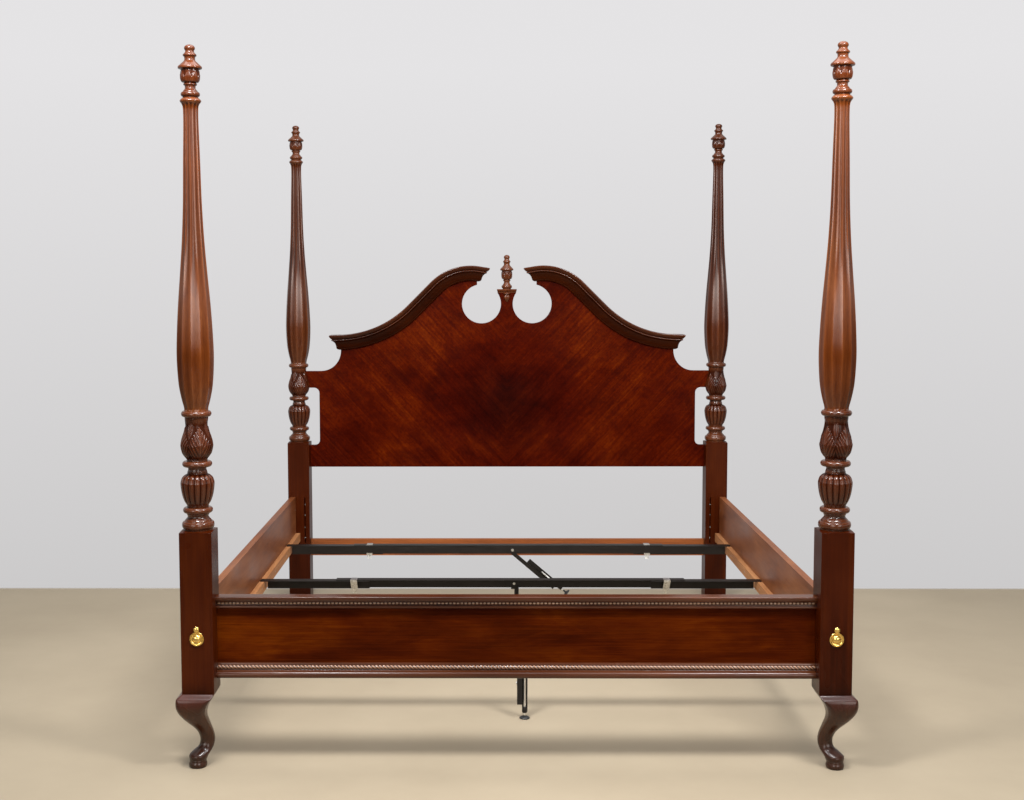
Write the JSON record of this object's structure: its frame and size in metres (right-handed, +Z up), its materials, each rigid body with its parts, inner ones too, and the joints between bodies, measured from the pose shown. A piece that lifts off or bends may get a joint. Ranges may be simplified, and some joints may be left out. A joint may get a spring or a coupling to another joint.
{
  "type": "four-poster bed",
  "caption": "Tall-post wooden bed with a swan-neck headboard, low footboard, turned posts, carved front legs, hooked side rails and steel slats on folding legs.",
  "frame": {"origin": "on the floor under the middle of the bed's overall box", "axes": "+Z up, +Y along the bed from the footboard to the headboard, +X to the right as seen from the foot of the bed"},
  "size_m": [2.1, 2.3095, 2.2223],
  "materials": {
    "mahogany": "satin",
    "raw_hardwood": "matt",
    "raw_pine": "matt",
    "black_steel": "semi-gloss",
    "plain_steel": "bare",
    "zinc_plate": "bright",
    "brass": "polished"
  },
  "bodies": {
    "frame": {"foot_leg_left": "mahogany", "foot_leg_right": "mahogany", "foot_post_left": "mahogany", "foot_post_right": "mahogany", "head_post_left": "mahogany", "head_post_right": "mahogany", "foot_shaft_left": "mahogany", "foot_shaft_right": "mahogany", "head_shaft_left": "mahogany", "head_shaft_right": "mahogany", "foot_finial_left": "mahogany", "foot_finial_right": "mahogany", "head_finial_left": "mahogany", "head_finial_right": "mahogany", "shaft_bolts": "plain_steel", "headboard_panel": "mahogany", "crown_moulding_left": "mahogany", "crown_moulding_right": "mahogany", "plinth_cap": "mahogany", "plinth_drop": "mahogany", "centre_finial": "mahogany", "head_cross_rail": "raw_hardwood", "footboard_panel": "mahogany", "footboard_cap": "mahogany", "footboard_top_moulding": "mahogany", "footboard_base_moulding": "mahogany", "side_rail_left": "mahogany", "side_rail_right": "mahogany", "ledger_left": "raw_pine", "ledger_right": "raw_pine", "ledger_screws": "plain_steel", "hook_plates": "plain_steel", "plate_screws": "zinc_plate", "hook_pins": "plain_steel", "slat_centre_front": "black_steel", "slat_centre_middle": "black_steel", "slat_centre_rear": "black_steel", "slat_clips": "zinc_plate", "leg_pivots": "zinc_plate", "cover_pivots": "brass"},
    "bolt_cover_left_body": {"bolt_cover_left": "brass"},
    "bolt_cover_right_body": {"bolt_cover_right": "brass"},
    "front_leg": {"slat_leg_front": "black_steel", "leg_extension_front": "black_steel", "leg_bolts_front": "zinc_plate"},
    "front_glide": {"leg_glide_front": "black_steel"},
    "front_slat_end_left": {"slat_end_front_left": "black_steel"},
    "front_slat_end_right": {"slat_end_front_right": "black_steel"},
    "middle_leg": {"slat_leg_middle": "black_steel", "leg_extension_middle": "black_steel", "leg_bolts_middle": "zinc_plate"},
    "middle_glide": {"leg_glide_middle": "black_steel"},
    "middle_slat_end_left": {"slat_end_middle_left": "black_steel"},
    "middle_slat_end_right": {"slat_end_middle_right": "black_steel"},
    "rear_leg": {"slat_leg_rear": "black_steel", "leg_extension_rear": "black_steel", "leg_bolts_rear": "zinc_plate"},
    "rear_glide": {"leg_glide_rear": "black_steel"},
    "rear_slat_end_left": {"slat_end_rear_left": "black_steel"},
    "rear_slat_end_right": {"slat_end_rear_right": "black_steel"}
  },
  "joints": [
    {"name": "bolt_cover_left_swing", "type": "hinge", "parent": "frame", "child": "bolt_cover_left_body", "pos_m": [-0.98, -1.131, 0.446], "axis": [0, 1, 0], "continuous": true},
    {"name": "bolt_cover_right_swing", "type": "hinge", "parent": "frame", "child": "bolt_cover_right_body", "pos_m": [0.98, -1.131, 0.446], "axis": [0, 1, 0], "continuous": true},
    {"name": "front_leg_fold", "type": "hinge", "parent": "frame", "child": "front_leg", "pos_m": [0.032, -0.648, 0.303], "axis": [0, -1, 0], "range_deg": [0, 78]},
    {"name": "front_glide_height", "type": "slide", "parent": "front_leg", "child": "front_glide", "axis": [0, 0, 1], "range_m": [0, 0.011]},
    {"name": "front_slat_end_left_slide", "type": "slide", "parent": "frame", "child": "front_slat_end_left", "axis": [-1, 0, 0], "range_m": [-0.015, 0.002]},
    {"name": "front_slat_end_right_slide", "type": "slide", "parent": "frame", "child": "front_slat_end_right", "axis": [1, 0, 0], "range_m": [-0.015, 0.002]},
    {"name": "middle_leg_fold", "type": "hinge", "parent": "frame", "child": "middle_leg", "pos_m": [0.016, 0.094, 0.303], "axis": [0, 1, 0], "range_deg": [0, 78]},
    {"name": "middle_glide_height", "type": "slide", "parent": "middle_leg", "child": "middle_glide", "axis": [0, 0, 1], "range_m": [0, 0.011]},
    {"name": "middle_slat_end_left_slide", "type": "slide", "parent": "frame", "child": "middle_slat_end_left", "axis": [-1, 0, 0], "range_m": [-0.015, 0.002]},
    {"name": "middle_slat_end_right_slide", "type": "slide", "parent": "frame", "child": "middle_slat_end_right", "axis": [1, 0, 0], "range_m": [-0.015, 0.002]},
    {"name": "rear_leg_fold", "type": "hinge", "parent": "frame", "child": "rear_leg", "pos_m": [0.02, 0.735, 0.303], "axis": [0, -1, 0], "range_deg": [-31, 28.5]},
    {"name": "rear_glide_height", "type": "slide", "parent": "rear_leg", "child": "rear_glide", "axis": [-0.7604, 0, 0.6494], "range_m": [0, 0.023]},
    {"name": "rear_slat_end_left_slide", "type": "slide", "parent": "frame", "child": "rear_slat_end_left", "axis": [-1, 0, 0], "range_m": [-0.015, 0.002]},
    {"name": "rear_slat_end_right_slide", "type": "slide", "parent": "frame", "child": "rear_slat_end_right", "axis": [1, 0, 0], "range_m": [-0.015, 0.002]}
  ]
}
